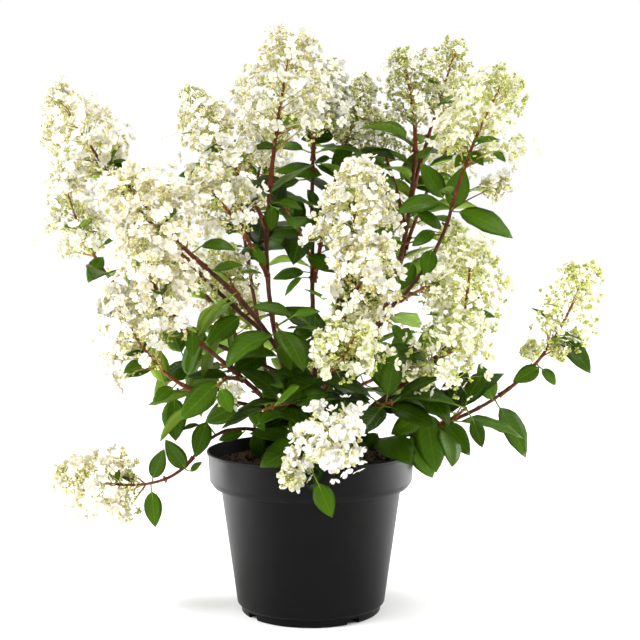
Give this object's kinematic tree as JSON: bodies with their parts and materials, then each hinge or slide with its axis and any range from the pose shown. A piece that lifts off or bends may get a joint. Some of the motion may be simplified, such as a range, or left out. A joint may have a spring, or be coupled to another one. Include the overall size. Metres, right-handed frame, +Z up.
{
  "type": "potted panicle hydrangea shrub",
  "caption": "Flowering shrub in a round nursery pot: a short trunk forks into stems that carry leafy shoots, most ending in a cone of pale flowers.",
  "frame": {"origin": "middle of the pot's flat underside, on the ground", "axes": "+Z up along the pot's axis, +X to the shrub's right as a viewer in front sees it, +Y to its back"},
  "size_m": [0.612, 0.4425, 0.6456],
  "materials": {
    "pot_plastic": "satin charcoal nursery plastic",
    "soil": "crumbly dark brown potting soil",
    "bark": "red-brown young bark, darker and ridged low down",
    "panicle": "cream-white florets and greenish buds",
    "foliage": "glossy mid-green leaves"
  },
  "bodies": {
    "root": {"pot": "pot_plastic", "root_ball": "soil", "trunk": "bark", "left_stem": "bark", "left_front_stem": "bark", "low_left_stem": "bark", "mid_left_stem": "bark", "far_left_stem": "bark", "top_stem": "bark", "centre_stem": "bark", "front_stem": "bark", "right_stem": "bark", "right_side_stem": "bark", "low_right_stem": "bark", "far_right_stem": "bark", "rim_left_stem": "bark", "back_left_stem": "bark", "back_top_stem": "bark", "back_right_stem": "bark", "top_panicle": "panicle", "upper_left_panicle": "panicle", "upper_left_front_panicle": "panicle", "top_back_panicle": "panicle", "upper_middle_panicle": "panicle", "right_top_panicle": "panicle", "right_top_back_panicle": "panicle", "right_inner_panicle": "panicle", "right_upper_panicle": "panicle", "centre_upper_panicle": "panicle", "centre_middle_panicle": "panicle", "centre_low_panicle": "panicle", "right_middle_panicle": "panicle", "right_low_panicle": "panicle", "far_right_panicle": "panicle", "front_low_panicle": "panicle", "far_left_low_panicle": "panicle", "far_left_top_panicle": "panicle", "far_left_middle_panicle": "panicle", "left_front_panicle": "panicle", "left_front_low_panicle": "panicle", "left_low_panicle": "panicle", "inner_left_panicle": "panicle", "back_left_top_panicle": "panicle", "back_top_panicle": "panicle", "back_left_panicle": "panicle", "back_left_low_panicle": "panicle", "back_upper_panicle": "panicle", "back_right_top_panicle": "panicle", "back_right_panicle": "panicle", "back_middle_panicle": "panicle", "back_low_panicle": "panicle", "front_left_leaves": "foliage", "front_leaves": "foliage", "front_right_leaves": "foliage", "right_leaves": "foliage", "left_leaves": "foliage", "inner_leaves": "foliage", "centre_leaves": "foliage", "back_left_leaves": "foliage", "back_right_leaves": "foliage"}
  },
  "joints": []
}
